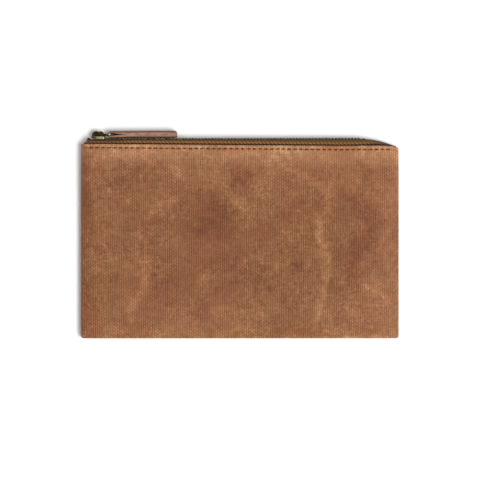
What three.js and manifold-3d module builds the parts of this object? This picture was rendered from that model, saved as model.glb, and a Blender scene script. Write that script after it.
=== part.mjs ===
// Flat zippered pouch in waxed canvas: two sewn panels with a cotton lining, a
// closed-end metal zip along the top edge, and a folded leather pull on a wire ring.
// Millimetres, +Z up. The pouch lies on its back panel. X runs along the zip,
// +Y points to the zip, and the origin is the middle of the back panel's resting face.
import * as THREE from "three";
import { mergeVertices } from "three/addons/utils/BufferGeometryUtils.js";
import Module from "manifold-3d";

const wasm = await Module();
wasm.setup();

// ---- driving dimensions -------------------------------------------------
const WIDTH = 228.6; // across the side seams
const BOTTOM_Y = -69.4; // bottom seam
const HEM_Y = 69.3; // folded top edge at mid width
const HEM_SLOPE = -0.0079; // the top edge falls a little towards the right
const THICK = 12; // back face to front face
const MID_Z = THICK / 2; // plane of the seams and of the zip's centre line
const CANVAS = 0.95; // waxed canvas
const HEM_THICK = 1.8; // canvas folded double at the top edge
const HEM_DEPTH = 12; // depth of the folded allowance
const LINING = 0.45; // cotton lining
const TAPE = 0.6; // zip tape
const RIM = 1.25; // outer height of a panel above the seam plane at its edge
const BELLY = THICK / 2; // outer height in the middle
const EDGE_RUN = 24; // how far in from the seams a panel reaches full height
const TOP_RUN = 6; // the same, beside the zip

const STITCH = 4.16; // topstitch length
const STITCH_IN = 2.75; // topstitch line below the top edge

const CHAIN_Y = 73.35; // centre of the zip chain at mid width
const CHAIN_SLOPE = 0.001; // the chain rises a little towards the right
const PITCH = 2.33; // tooth pitch on each side
const TEETH = 82; // teeth on each side
const FIRST_TOOTH = -103.5; // centre of the first front tooth along the chain
const TOOTH_T = 1.0; // tooth thickness along the chain
const TOOTH_V = 1.2; // half the tooth depth, outwards
const HEAD_W = -0.55; // how far a head reaches past the centre line
const BEAD_IN = 2.2; // bead cord, inner and outer face from the centre line
const BEAD_OUT = 3.3;

const SLIDER_U = -101.8; // slider centre along the chain, closed
const PLATE_HALF = 5.1; // half the slider's length
const RING_REACH = 9.6; // ring bar to ring bar
const WIRE_R = 0.65;
const RING_V = 3.7; // height of the ring over the chain's centre
const PULL_LEN = 47.2; // from the ring bar to the pull's free end
const PULL_W = 6.8; // width of the leather

// ---- helpers ------------------------------------------------------------
const half = WIDTH / 2;
const hemY = (x) => HEM_Y + HEM_SLOPE * x;
const chainY = (x) => CHAIN_Y + CHAIN_SLOPE * x;
const lerp = THREE.MathUtils.lerp;
const KNOTS = [0, 1, 2, 3.5, 6, 9, 14, 24];

// Rise of a panel from its seam, straight between the knots, so that pieces laid
// against it stay clear of its flat facets.
function rise(d, run) {
  const g = (q) => 1 - Math.pow(1 - Math.min(1, Math.max(0, q) / run), 2.5);
  if (d >= 24) return 1;
  let i = 0;
  while (i < KNOTS.length - 2 && KNOTS[i + 1] <= d) i++;
  const t = (d - KNOTS[i]) / (KNOTS[i + 1] - KNOTS[i]);
  return lerp(g(KNOTS[i]), g(KNOTS[i + 1]), t);
}
const runAt = (y) =>
  lerp(EDGE_RUN, TOP_RUN, THREE.MathUtils.smoothstep(y, 0, 48));
// Outer height of a panel over the seam plane.
function outer(x, y) {
  const side = rise(half - Math.abs(x), runAt(y));
  const foot = rise(y - BOTTOM_Y, EDGE_RUN);
  return RIM + (BELLY - RIM) * side * foot;
}
// The sunk topstitch line and the rounded fold, as a drop from the outer height.
function drop(toHem) {
  const at = [0, 0.6, 1.5, 2.25, 3.25, 4.3];
  const by = [1.0, 0.4, 0.15, 0.55, 0.55, 0];
  if (toHem >= 4.3) return 0;
  let i = 0;
  while (i < at.length - 2 && at[i + 1] <= toHem) i++;
  return lerp(by[i], by[i + 1], (toHem - at[i]) / (at[i + 1] - at[i]));
}
const innerHem = (x, y) => outer(x, y) - HEM_THICK;

// A sheet over a grid of columns and rows: a segmented box whose vertices are moved.
// at(column, row, top) gives [x, y, height over the seam plane]; side -1 mirrors it to the back.
function sheet(columns, rows, side, at) {
  const g = new THREE.BoxGeometry(1, 1, 1, columns - 1, rows - 1, 1);
  const p = g.getAttribute("position");
  for (let i = 0; i < p.count; i++) {
    const c = Math.round((p.getX(i) + 0.5) * (columns - 1));
    const r = Math.round((p.getY(i) + 0.5) * (rows - 1));
    const [x, y, h] = at(c, r, p.getZ(i) > 0);
    p.setXYZ(i, x, y, MID_Z + side * h);
  }
  // split the underside's quads along the same diagonal as the top's
  const index = g.getIndex();
  const under = g.groups[5];
  for (let i = under.start; i < under.start + under.count; i += 6) {
    const [a, b, , , c, d] = Array.from({ length: 6 }, (_, k) => index.getX(i + k));
    [a, b, c, a, c, d].forEach((v, k) => index.setX(i + k, v));
  }
  g.clearGroups();
  if (side < 0) {
    for (let i = 0; i < index.count; i += 3) {
      const b = index.getX(i + 1);
      index.setX(i + 1, index.getX(i + 2));
      index.setX(i + 2, b);
    }
  }
  g.computeVertexNormals();
  return g;
}

function toSolid(geometry) {
  const bare = geometry.clone();
  for (const name of Object.keys(bare.attributes))
    if (name !== "position") bare.deleteAttribute(name);
  const merged = mergeVertices(bare, 1e-4);
  return new wasm.Manifold(
    new wasm.Mesh({
      numProp: 3,
      vertProperties: merged.attributes.position.array,
      triVerts: new Uint32Array(merged.index.array),
    }),
  );
}
function fromSolid(solid) {
  const m = solid.getMesh();
  const g = new THREE.BufferGeometry();
  g.setAttribute(
    "position",
    new THREE.BufferAttribute(new Float32Array(m.vertProperties), 3),
  );
  g.setIndex(new THREE.BufferAttribute(new Uint32Array(m.triVerts), 1));
  g.computeVertexNormals();
  return g;
}
function joined(...geometries) {
  return fromSolid(
    geometries.map(toSolid).reduce((sum, next) => sum.add(next)),
  );
}
// A profile in a plane, pushed out along the third axis. plane "uw" lies flat on the
// chain's plate and is thick along v; plane "uv" is seen from the pouch's front.
function prism(points, from, to, plane, hole) {
  const shape = new THREE.Shape(points.map(([a, b]) => new THREE.Vector2(a, b)));
  if (hole)
    shape.holes.push(
      new THREE.Path(hole.map(([a, b]) => new THREE.Vector2(a, b))),
    );
  const g = new THREE.ExtrudeGeometry(shape, {
    depth: to - from,
    bevelEnabled: false,
    curveSegments: 8,
  });
  g.translate(0, 0, from);
  if (plane === "uw") {
    // (a, b, c) becomes (a, c, -b), so the profile is entered with w reversed
    g.rotateX(-Math.PI / 2);
  }
  return g;
}
const mirrorW = (points, side) => points.map(([u, w]) => [u, -side * w]);

const pouch = new THREE.Group();
function add(parent, name, geometry, colour, roughness, metalness = 0) {
  const material = new THREE.MeshStandardMaterial({
    color: colour,
    roughness,
    metalness,
    side: THREE.FrontSide,
  });
  const mesh = new THREE.Mesh(geometry, material);
  mesh.name = name;
  parent.add(mesh);
  return mesh;
}
const CANVAS_TAN = 0x96653f;
const LINING_TAN = 0xb59a78;
const THREAD_TAN = 0xb0763f;
const TAPE_BROWN = 0x6e4f33;
const OLD_BRASS = 0x8f7b4d;
const LEATHER = 0xa67f6b;

// ---- panels and lining --------------------------------------------------
const xs = [
  ...KNOTS.map((d) => -half + d),
  0,
  ...KNOTS.map((d) => half - d).reverse(),
];
const rowsBelow = KNOTS.map((d) => BOTTOM_Y + d).concat([0, 25, 48]);
const hemRows = [HEM_DEPTH + 1, HEM_DEPTH, 4.3, 3.25, 2.25, 1.5, 0.6, 0];
for (const [word, side] of [
  ["front", 1],
  ["back", -1],
]) {
  const rows = rowsBelow.length + hemRows.length;
  const yOf = (x, r) =>
    r < rowsBelow.length ? rowsBelow[r] : hemY(x) - hemRows[r - rowsBelow.length];
  const panel = sheet(xs.length, rows, side, (c, r, top) => {
    let x = xs[c];
    let y = yOf(x, r);
    const edge = c === 0 || c === xs.length - 1;
    if (edge && r === 0) {
      // small rounded corners
      x *= 1 - 0.7 / half;
      y += 0.7;
    }
    if (edge && r === rows - 1) {
      x *= 1 - 0.5 / half;
      y -= 0.5;
    }
    const toHem = hemY(xs[c]) - yOf(xs[c], r);
    const h = outer(xs[c], yOf(xs[c], r));
    if (top) return [x, y, h - drop(toHem) * Math.min(1, (h - RIM) / 2 + 0.25)];
    return [x, y, toHem <= HEM_DEPTH + 0.01 && !edge
      ? Math.max(h - HEM_THICK, RIM - CANVAS)
      : h - CANVAS];
  });
  add(pouch, word + "_panel", panel, CANVAS_TAN, 0.75);

  // the lining hangs inside its panel, and passes under the zip tape at the top
  const inset = 3.5;
  const lx = xs
    .map((x) => THREE.MathUtils.clamp(x, -half + inset, half - inset))
    .filter((x, i, all) => i === 0 || x - all[i - 1] > 0.01);
  const lBelow = rowsBelow
    .map((y) => Math.max(y, BOTTOM_Y + inset))
    .filter((y, i, all) => i === 0 || y - all[i - 1] > 0.01);
  const lHem = [HEM_DEPTH + 4, HEM_DEPTH + 1.5, 6, 4];
  const lining = sheet(lx.length, lBelow.length + lHem.length, side, (c, r, top) => {
    const x = lx[c];
    const toHem = r < lBelow.length ? Infinity : lHem[r - lBelow.length];
    const y = r < lBelow.length ? lBelow[r] : hemY(x) - toHem;
    const under =
      toHem < HEM_DEPTH + 2
        ? innerHem(x, y) - 0.15 - TAPE - 0.2
        : outer(x, y) - CANVAS - 0.3;
    return [x, y, under - (top ? 0 : LINING)];
  });
  add(pouch, word + "_lining", lining, LINING_TAN, 0.9);

  // topstitching: one run of thread along the hem, standing up at each stitch
  const count = Math.floor((WIDTH - 8) / STITCH) * 2 + 1;
  const thread = sheet(count, 2, side, (c, r, top) => {
    const x = (c - (count - 1) / 2) * (STITCH / 2);
    const y = hemY(x) - STITCH_IN + (r ? 0.3 : -0.3);
    const base = outer(x, y) - 0.55 + 0.12;
    return [x, y, base + (top ? (c % 2 ? 0.36 : 0.16) : 0)];
  });
  add(pouch, "topstitch_" + word, thread, THREAD_TAN, 0.6);
}

// one run of seam thread down a side, along the bottom and up the other side,
// in the nip between the two panels
{
  const o = half - 0.9;
  const i = half - 1.35;
  const b = BOTTOM_Y;
  const seam = prism(
    [
      [-o, hemY(-o) - 3], [-o, b + 0.9 + 0.6], [-o + 0.6, b + 0.9], [o - 0.6, b + 0.9],
      [o, b + 0.9 + 0.6], [o, hemY(o) - 3], [i, hemY(o) - 3], [i, b + 1.35 + 0.6],
      [i - 0.6, b + 1.35], [-i + 0.6, b + 1.35], [-i, b + 1.35 + 0.6], [-i, hemY(-o) - 3],
    ],
    MID_Z - 0.15,
    MID_Z + 0.15,
    "xy",
  );
  add(pouch, "seam_stitching", seam, THREAD_TAN, 0.6);
}

// ---- zip tapes ----------------------------------------------------------
// How much of the tape stands beyond the hem: all of it along the chain, sinking into
// the corners past the stops.
function standing(x) {
  const at = [-112.5, -111.7, -110.9, -110.0, 88, 90.8, 94.8, 99, 103.5, 106, 108, 110.2, 112.3];
  const by = [0.06, 0.3, 0.68, 1, 1, 0.94, 0.84, 0.68, 0.5, 0.36, 0.2, 0.09, 0.06];
  let i = 0;
  while (i < at.length - 2 && at[i + 1] <= x) i++;
  return lerp(by[i], by[i + 1], THREE.MathUtils.clamp((x - at[i]) / (at[i + 1] - at[i]), 0, 1));
}
const tapeX = [
  -112.5, -111.7, -110.9, -110.0, -108.3, -105.3, -100.3, 0, 88, 90.8, 94.8, 99,
  100.3, 103.5, 105.3, 106, 108, 110.2, 110.8, 112.3,
];
for (const [word, side] of [
  ["front", 1],
  ["back", -1],
]) {
  const tape = sheet(tapeX.length, 6, side, (c, r, top) => {
    const x = tapeX[c];
    const e = standing(x);
    const hem = hemY(x);
    const under = innerHem(x, hem) - 0.15;
    const far = [null, null, null, [-2.0, 4.2], [-1.2, 4.3], [0.45, 4.3]][r];
    if (!far) {
      const y = hem - [10.5, 5, 0.2][r];
      return [x, y, under - (top ? 0 : TAPE)];
    }
    const y = lerp(hem + 0.1 + 0.25 * (r - 2), chainY(x) + far[0], e);
    const h = lerp(under, Math.max(under, far[1]), e);
    return [x, y, h - (top ? 0 : TAPE)];
  });
  add(pouch, "zipper_tape_" + word, tape, TAPE_BROWN, 0.85);
}

// ---- zip chain ----------------------------------------------------------
// u along the chain, v outwards, w across it: the group's x, y and z.
const chain = new THREE.Group();
chain.position.set(0, CHAIN_Y, MID_Z);
chain.rotation.z = Math.atan(CHAIN_SLOPE);
pouch.add(chain);

for (const [word, side] of [
  ["front", 1],
  ["back", -1],
]) {
  const points = [];
  const left = -107.3;
  const right = 87.4;
  points.push([left, BEAD_OUT], [left, BEAD_IN]);
  for (let k = 0; k < TEETH; k++) {
    const u = FIRST_TOOTH + PITCH * (k + (side < 0 ? 0.5 : 0));
    const a = TOOTH_T / 2;
    points.push([u - a, BEAD_IN], [u - a, 0.5], [u - a + 0.14, HEAD_W]);
    points.push([u + a - 0.14, HEAD_W], [u + a, 0.5], [u + a, BEAD_IN]);
  }
  points.push([right, BEAD_IN], [right, BEAD_OUT]);
  const comb = prism(mirrorW(points, side), -TOOTH_V, TOOTH_V, "uw");
  add(chain, "teeth_" + word, comb, OLD_BRASS, 0.4, 0.9);

  const stop = prism(
    mirrorW([[-109.3, 1.6], [-107.6, 1.6], [-107.6, 3.5], [-109.3, 3.5]], side),
    -1.35,
    1.35,
    "uw",
  );
  add(chain, "top_stop_" + word, stop, OLD_BRASS, 0.4, 0.9);
}
add(
  chain,
  "bottom_stop",
  prism([[87.8, -3.5], [90.0, -3.5], [90.4, 0], [90.0, 3.5], [87.8, 3.5]], -1.4, 1.4, "uw"),
  OLD_BRASS,
  0.4,
  0.9,
);

// ---- slider -------------------------------------------------------------
const slider = new THREE.Group();
slider.position.x = SLIDER_U;
chain.add(slider);
{
  const L = PLATE_HALF;
  const top = prism(
    [[-L, -3.0], [-4.3, -4.2], [-2.6, -4.4], [L - 0.6, -4.4], [L, -3.9],
     [L, 3.9], [L - 0.6, 4.4], [-2.6, 4.4], [-4.3, 4.2], [-L, 3.0], [-3.9, 1.6], [-3.9, -1.6]],
    1.5, 2.4, "uw");
  const bottom = prism(
    [[-L, -2.4], [-4.2, -3.3], [L - 0.5, -3.3], [L, -2.9],
     [L, 2.9], [L - 0.5, 3.3], [-4.2, 3.3], [-L, 2.4], [-3.9, 1.4], [-3.9, -1.4]],
    -2.4, -1.5, "uw");
  const post = prism(
    [[-3.8, 0], [-3.2, -0.9], [-2.5, -0.9], [-2.1, 0], [-2.5, 0.9], [-3.2, 0.9]],
    -2.0, 2.0, "uw");
  const flange = (s) =>
    prism(mirrorW([[-2.6, 3.65], [L - 0.6, 3.65], [L - 0.6, 4.4], [-2.6, 4.4]], s), 0.75, 2.0, "uw");
  add(slider, "slider_body", joined(top, bottom, post, flange(1), flange(-1)), OLD_BRASS, 0.4, 0.9);
}
add(
  slider,
  "slider_bridge",
  prism(
    [[-4.2, 2.5], [-3.1, 2.5], [-3.1, 4.6], [-2.6, 5.0], [2.6, 5.0], [3.1, 4.6],
     [3.1, 2.5], [4.2, 2.5], [4.2, 5.0], [3.2, 6.2], [2.0, 6.5], [-2.0, 6.5], [-3.2, 6.2], [-4.2, 5.0]],
    -1.3, 1.3, "uv"),
  OLD_BRASS, 0.4, 0.9);

// wire ring: a torus drawn out to a rounded rectangle
{
  const corner = 1.5;
  const ring = new THREE.TorusGeometry(corner, WIRE_R, 8, 24);
  ring.rotateX(Math.PI / 2);
  const p = ring.getAttribute("position");
  const turn = Math.PI / 24;
  for (let i = 0; i < p.count; i++) {
    const x = p.getX(i), z = p.getZ(i);
    const a = x * Math.cos(turn) - z * Math.sin(turn);
    const b = x * Math.sin(turn) + z * Math.cos(turn);
    p.setXYZ(
      i,
      a + Math.sign(a) * (RING_REACH / 2 - corner) + RING_REACH / 2,
      p.getY(i) + RING_V,
      b + Math.sign(b) * (PULL_W / 2 + 0.35 + WIRE_R - corner),
    );
  }
  add(slider, "pull_ring", ring, OLD_BRASS, 0.4, 0.9);
}

// leather pull: a strip folded round the ring's bar and glued to itself
{
  const outline = [];
  for (let i = 0; i <= 10; i++) {
    const a = Math.PI / 2 + (Math.PI * i) / 10;
    outline.push([2.35 * Math.cos(a), 0.15 + 2.35 * Math.sin(a)]);
  }
  outline.push([4, -2.15], [8, -2.05], [12, -1.98], [PULL_LEN - 1.6, -1.95]);
  outline.push([PULL_LEN - 0.5, -1.5], [PULL_LEN, -0.6], [PULL_LEN, 1.5]);
  outline.push([PULL_LEN - 0.5, 2.3], [PULL_LEN - 1.6, 2.65], [30, 2.62], [12, 2.45], [8, 2.45], [4, 2.5]);
  const eye = [];
  for (let i = 0; i <= 8; i++) {
    const a = Math.PI / 2 + (Math.PI * i) / 8;
    eye.push([0.95 * Math.cos(a), 0.95 * Math.sin(a)]);
  }
  eye.push([3.6, -0.65], [7.5, 0.2], [3.6, 0.85]);
  const pull = prism(outline, -PULL_W / 2, PULL_W / 2, "uv", eye);
  pull.translate(RING_REACH, RING_V, 0);
  add(slider, "leather_pull", pull, LEATHER, 0.6);
}

export default pouch;
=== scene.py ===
import math

import bpy
import numpy as np
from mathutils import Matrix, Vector


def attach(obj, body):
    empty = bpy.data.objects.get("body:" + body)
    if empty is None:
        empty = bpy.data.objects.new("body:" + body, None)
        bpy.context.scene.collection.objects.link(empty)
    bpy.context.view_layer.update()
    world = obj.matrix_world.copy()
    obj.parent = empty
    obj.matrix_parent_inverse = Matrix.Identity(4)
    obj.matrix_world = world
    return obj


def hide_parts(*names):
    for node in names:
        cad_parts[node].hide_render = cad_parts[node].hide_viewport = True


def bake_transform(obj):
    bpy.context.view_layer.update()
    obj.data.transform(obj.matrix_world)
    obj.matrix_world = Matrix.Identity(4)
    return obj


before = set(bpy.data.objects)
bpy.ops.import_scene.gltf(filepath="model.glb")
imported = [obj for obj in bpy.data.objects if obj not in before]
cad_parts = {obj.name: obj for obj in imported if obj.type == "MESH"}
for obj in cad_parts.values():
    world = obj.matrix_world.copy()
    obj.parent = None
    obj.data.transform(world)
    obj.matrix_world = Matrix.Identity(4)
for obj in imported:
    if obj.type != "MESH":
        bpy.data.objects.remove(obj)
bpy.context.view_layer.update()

scene = bpy.context.scene

# ---- the object's own dimensions, as in the CAD model --------------------
HALF = 114.3
BOTTOM = -69.4
TALL = 138.7
MID = 6.0
RIM = 1.04
BELLY = 6.0
TILT = math.atan(0.001)
CHAIN = 73.35
PITCH = 2.33
TEETH = 82
FIRST = -103.5
SLIDER_U = -101.8
REACH = 9.6
RING_V = 3.7
PULL_LEN = 47.2
PULL_W = 6.8
STITCH = 4.16
STITCH_IN = 2.75
HEM_T = 1.8
HEM_DEPTH = 12.0
CANVAS = 0.95
LINING = 0.45


def smooth(t, a=0.0, b=1.0):
    t = np.clip((np.asarray(t, float) - a) / (b - a), 0, 1)
    return t * t * (3 - 2 * t)


def hem(x):
    # the folded edge stands a little higher where the closed end of the zip lifts it
    lift = smooth(x, 72, 94) * (1 - smooth(x, 102, 112))
    return 69.3 - 0.0079 * x + 0.38 * lift


def chain_y(x):
    return CHAIN + 0.001 * x


def rise(d, run):
    return 1 - (1 - np.clip(d / run, 0, 1)) ** 2.5


def field(x, y, cell, seed):
    """Smooth random heights from about -1 to 1, about cell millimetres across."""
    grid = np.random.default_rng(seed).uniform(-1, 1, (96, 96))
    u, v = (np.asarray(x, float) + 400) / cell, (np.asarray(y, float) + 400) / cell
    i, j = np.floor(u).astype(int), np.floor(v).astype(int)
    s, t = u - i, v - j
    s, t = s**3 * (s * (6 * s - 15) + 10), t**3 * (t * (6 * t - 15) + 10)
    g = lambda a, b: grid[a % 96, b % 96]
    low = g(i, j) * (1 - s) + g(i + 1, j) * s
    high = g(i, j + 1) * (1 - s) + g(i + 1, j + 1) * s
    return low * (1 - t) + high * t


def layers(x, y, cell, seed, n=4, gain=0.5):
    total, amount, most = 0, 1.0, 0
    for k in range(n):
        turn = 0.7 + 1.1 * k
        c, s = math.cos(turn), math.sin(turn)
        total = total + amount * field(c * x - s * y, s * x + c * y, cell, seed + k)
        most += amount
        cell, amount = cell / 2.03, amount * gain
    return total / most * 1.6


def near_line(x, y, line, width):
    """1 on a polyline, falling to 0 at width from it, and thinner towards its ends."""
    p = np.stack([x, y], -1)
    best = np.zeros(np.shape(x))
    line = np.array(line, float)
    seg = np.linalg.norm(np.diff(line, axis=0), axis=1)
    run = np.concatenate([[0], np.cumsum(seg)])
    for k in range(len(line) - 1):
        a, d = line[k], line[k + 1] - line[k]
        t = np.clip(((p - a) @ d) / (d @ d), 0, 1)
        far = np.linalg.norm(p - a - t[..., None] * d, axis=-1)
        along = (run[k] + t * seg[k]) / run[-1]
        w = width * (0.35 + 0.65 * np.sin(np.pi * np.clip(along, 0.02, 0.98)) ** 0.5)
        best = np.maximum(best, (1 - smooth(far / w)) * np.sin(np.pi * np.clip(along, 0.03, 0.97)) ** 0.35)
    return best


# ---- mesh helpers --------------------------------------------------------
def chain_to_row(u, v, w):
    c, s = math.cos(TILT), math.sin(TILT)
    u, v, w = np.broadcast_arrays(*(np.asarray(a, float) for a in (u, v, w)))
    return np.stack([u * c - v * s, CHAIN + u * s + v * c, MID + w], -1)


def piece(name, points, faces, smooth_shading=True, **attributes):
    """A mesh object from points in millimetres. Attributes are one number, or three, for each point."""
    points = np.asarray(points, float).reshape(-1, 3)
    mesh = bpy.data.meshes.new(name)
    mesh.from_pydata((points / 1000).tolist(), [], [list(map(int, f)) for f in faces])
    mesh.validate()
    attributes.setdefault("rest", points)
    for key, value in attributes.items():
        value = np.asarray(value, np.float32)
        if value.ndim == 2:
            a = mesh.attributes.new(key, "FLOAT_VECTOR", "POINT")
            a.data.foreach_set("vector", value.ravel())
        else:
            a = mesh.attributes.new(key, "FLOAT", "POINT")
            a.data.foreach_set("value", value.ravel())
    mesh.shade_smooth() if smooth_shading else mesh.shade_flat()
    obj = bpy.data.objects.new(name, mesh)
    scene.collection.objects.link(obj)
    return obj


def quads(rows, columns, wrap_rows=False, wrap_columns=False, flip=False):
    r = np.arange(rows if wrap_rows else rows - 1)
    c = np.arange(columns if wrap_columns else columns - 1)
    r, c = np.meshgrid(r, c, indexing="ij")
    r2, c2 = (r + 1) % rows, (c + 1) % columns
    f = np.stack(
        [r * columns + c, r * columns + c2, r2 * columns + c2, r2 * columns + c], -1
    ).reshape(-1, 4)
    return f[:, ::-1] if flip else f


def double_sheet(name, x, y, outer, thick, side, **attributes):
    """A closed sheet over a grid (rows by columns). outer is its height over the seam's
    plane, thick its thickness, which is 0 round the edge, where its two faces meet."""
    rows, columns = x.shape
    top = np.stack([x, y, MID + side * outer], -1).reshape(-1, 3)
    low = np.stack([x, y, MID + side * (outer - thick)], -1).reshape(-1, 3)
    edge = np.zeros((rows, columns), bool)
    edge[[0, -1], :] = True
    edge[:, [0, -1]] = True
    edge = edge.ravel()
    number = np.arange(rows * columns)
    under = number.copy()
    under[~edge] = rows * columns + np.arange((~edge).sum())
    faces = quads(rows, columns)
    f_top = faces if side > 0 else faces[:, ::-1]
    f_low = under[faces[:, ::-1] if side > 0 else faces]
    points = np.concatenate([top, low[~edge]])
    extra = {}
    for key, value in attributes.items():
        value = np.broadcast_to(value, x.shape).ravel()
        extra[key] = np.concatenate([value, value[~edge]])
    extra["inside"] = np.concatenate([np.zeros(rows * columns), np.ones((~edge).sum())])
    return piece(name, points, np.concatenate([f_top, f_low]), **extra)


def join_parts(parts):
    """One (points, faces) from several."""
    points, faces, n = [], [], 0
    for p, f in parts:
        p = np.asarray(p, float).reshape(-1, 3)
        points.append(p)
        faces += [[int(i) + n for i in g] for g in f]
        n += len(p)
    return np.concatenate(points), faces


def tube(line, sections, closed=False):
    """A swept tube: line, meant as the n points, is not used; sections are n rings of m points already in place."""
    sections = np.asarray(sections, float)
    n, m = sections.shape[:2]
    f = [list(q) for q in quads(n, m, wrap_rows=closed, wrap_columns=True)]
    if not closed:
        f.append(list(range(m))[::-1])
        f.append([(n - 1) * m + k for k in range(m)])
    return sections.reshape(-1, 3), f


def rounded_box(half_a, half_b, r, n=3):
    """Points round a rectangle with rounded corners, counter-clockwise from +a."""
    r = min(r, half_a * 0.98, half_b * 0.98)
    out = []
    for k, (sa, sb) in enumerate([(1, 1), (-1, 1), (-1, -1), (1, -1)]):
        for j in range(n + 1):
            t = (k + j / n) * math.pi / 2
            out.append((sa * (half_a - r) + r * math.cos(t), sb * (half_b - r) + r * math.sin(t)))
    return np.array(out)


def curve_through(points, n=60):
    """A smooth line through points."""
    points = np.array(points, float)
    t = np.concatenate([[0], np.cumsum(np.linalg.norm(np.diff(points, axis=0), axis=1))])
    out = []
    tt = np.linspace(0, t[-1], n)
    m = np.gradient(points, t, axis=0)
    for q in tt:
        i = min(max(np.searchsorted(t, q) - 1, 0), len(t) - 2)
        hh = t[i + 1] - t[i]
        s = (q - t[i]) / hh
        out.append((2 * s**3 - 3 * s**2 + 1) * points[i] + (s**3 - 2 * s**2 + s) * hh * m[i]
                   + (-2 * s**3 + 3 * s**2) * points[i + 1] + (s**3 - s**2) * hh * m[i + 1])
    return np.array(out)


def turned_out(obj):
    """Makes a closed mesh's faces point outwards."""
    import bmesh
    bm = bmesh.new()
    bm.from_mesh(obj.data)
    bmesh.ops.recalc_face_normals(bm, faces=bm.faces)
    bm.to_mesh(obj.data)
    bm.free()
    return obj


def applied(obj, *modifiers):
    """Adds modifiers as (kind, settings) and applies them."""
    for kind, settings in modifiers:
        m = obj.modifiers.new(kind.lower(), kind)
        for key, value in settings.items():
            setattr(m, key, value)
    bpy.context.view_layer.update()
    done = bpy.data.meshes.new_from_object(
        obj.evaluated_get(bpy.context.evaluated_depsgraph_get())
    )
    obj.modifiers.clear()
    obj.data = done
    done.shade_smooth()
    return obj


def worn(obj, gain=1.0, steps=2):
    """Writes how much each point sticks out, from 0 to 1, as the attribute wear."""
    mesh = obj.data
    n = len(mesh.vertices)
    co, no = np.zeros(n * 3), np.zeros(n * 3)
    mesh.vertices.foreach_get("co", co)
    mesh.vertices.foreach_get("normal", no)
    co, no = co.reshape(-1, 3), no.reshape(-1, 3)
    e = np.zeros(len(mesh.edges) * 2, np.int32)
    mesh.edges.foreach_get("vertices", e)
    e = e.reshape(-1, 2)
    count = np.bincount(e.ravel(), minlength=n).clip(1)

    def mean(value):
        out = np.zeros_like(value)
        np.add.at(out, e[:, 0], value[e[:, 1]])
        np.add.at(out, e[:, 1], value[e[:, 0]])
        return out / (count[:, None] if value.ndim == 2 else count)

    size = np.linalg.norm(co[e[:, 0]] - co[e[:, 1]], axis=1).mean()
    out = -((mean(co) - co) * no).sum(1) / size
    for _ in range(steps):
        out = 0.5 * out + 0.5 * mean(out)
    for key, value in (("wear_and_highlight", np.clip(out * 4 * gain, 0, 1)), ("hollow_patina_and_shade", np.clip(-out * 4 * gain, 0, 1))):
        a = mesh.attributes.get(key) or mesh.attributes.new(key, "FLOAT", "POINT")
        a.data.foreach_set("value", value.astype(np.float32))
    if not mesh.attributes.get("rest"):
        a = mesh.attributes.new("rest", "FLOAT_VECTOR", "POINT")
        a.data.foreach_set("vector", (co * 1000).astype(np.float32).ravel())
    return obj


# ---- materials -----------------------------------------------------------
def srgb(r, g, b):
    f = lambda c: c / 12.92 if c <= 0.04045 else ((c + 0.055) / 1.055) ** 2.4
    return (f(r / 255), f(g / 255), f(b / 255), 1.0)


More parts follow.
